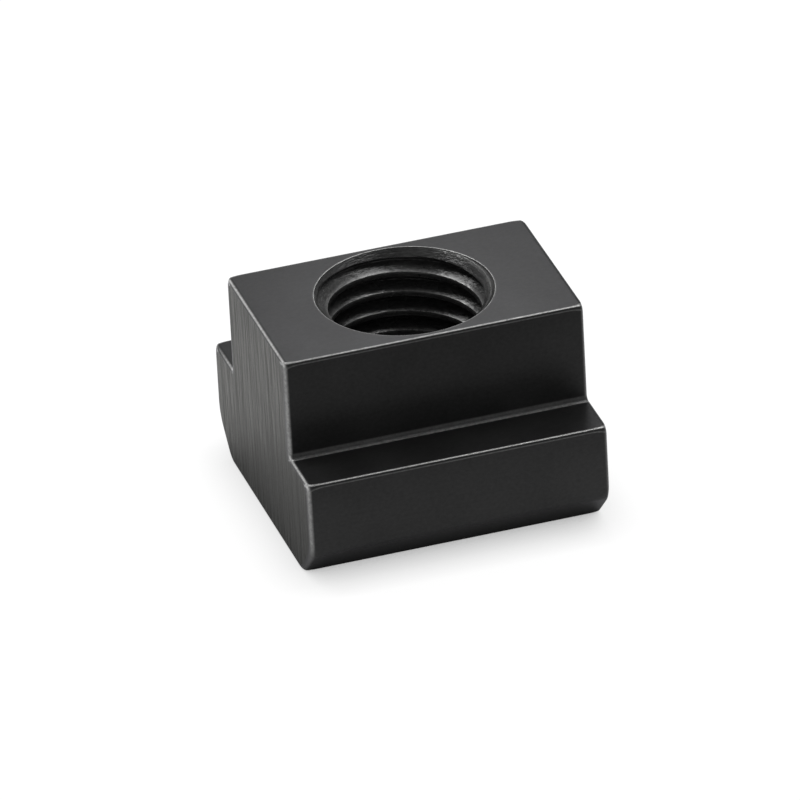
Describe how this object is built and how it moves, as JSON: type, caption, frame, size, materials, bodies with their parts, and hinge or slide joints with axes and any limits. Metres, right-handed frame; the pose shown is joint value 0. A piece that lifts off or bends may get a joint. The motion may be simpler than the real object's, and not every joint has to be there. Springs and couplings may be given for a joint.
{
  "type": "t slot nut",
  "caption": "Short T-section steel block with a tapped hole through it, which slides in a machine table's T slot and takes a clamping stud.",
  "frame": {"origin": "on the underside, on the axis of the tapped hole", "axes": "+X along the slot that the nut slides in, +Y across the slot, +Z along the hole towards the table's surface, which is the neck's side"},
  "size_m": [0.028, 0.0282, 0.02],
  "materials": {
    "blackened_steel": "black oxide over a milled and sawn surface, satin, with brighter broken edges"
  },
  "bodies": {
    "root": {"t_slot_nut": "blackened_steel"}
  },
  "joints": []
}
